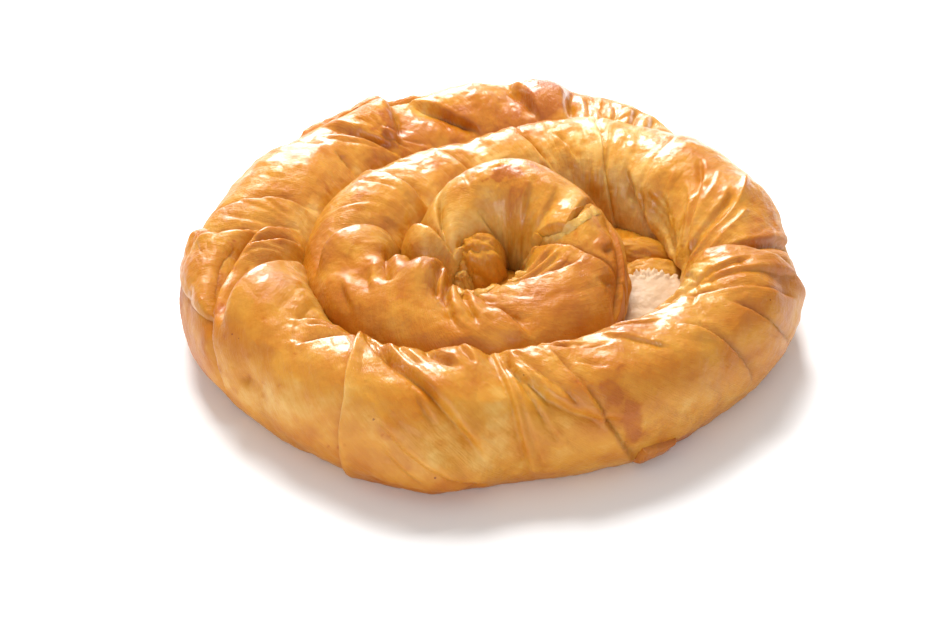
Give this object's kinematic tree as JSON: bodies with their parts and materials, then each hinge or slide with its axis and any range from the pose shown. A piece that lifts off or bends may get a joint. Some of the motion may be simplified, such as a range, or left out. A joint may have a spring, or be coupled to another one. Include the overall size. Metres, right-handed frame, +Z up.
{
  "type": "spiral cheese pie",
  "caption": "Round coiled cheese pie: a twisted rope of browned phyllo wound in a spiral to a raised middle, burst at one side so that its white cheese filling shows",
  "frame": {"origin": "on the surface that the pie rests on, under the centre of its bounding box", "axes": "+Z up, +X to the pie's right towards the side where it has burst, +Y to its back, where the tail of the rope lies"},
  "size_m": [0.1887, 0.1807, 0.047],
  "materials": {
    "pastry": "baked phyllo, golden to orange-brown, brushed with a glossy glaze",
    "cheese": "soft crumbly white cheese, dull"
  },
  "bodies": {
    "root": {"pastry": "pastry", "cheese": "cheese"}
  },
  "joints": []
}
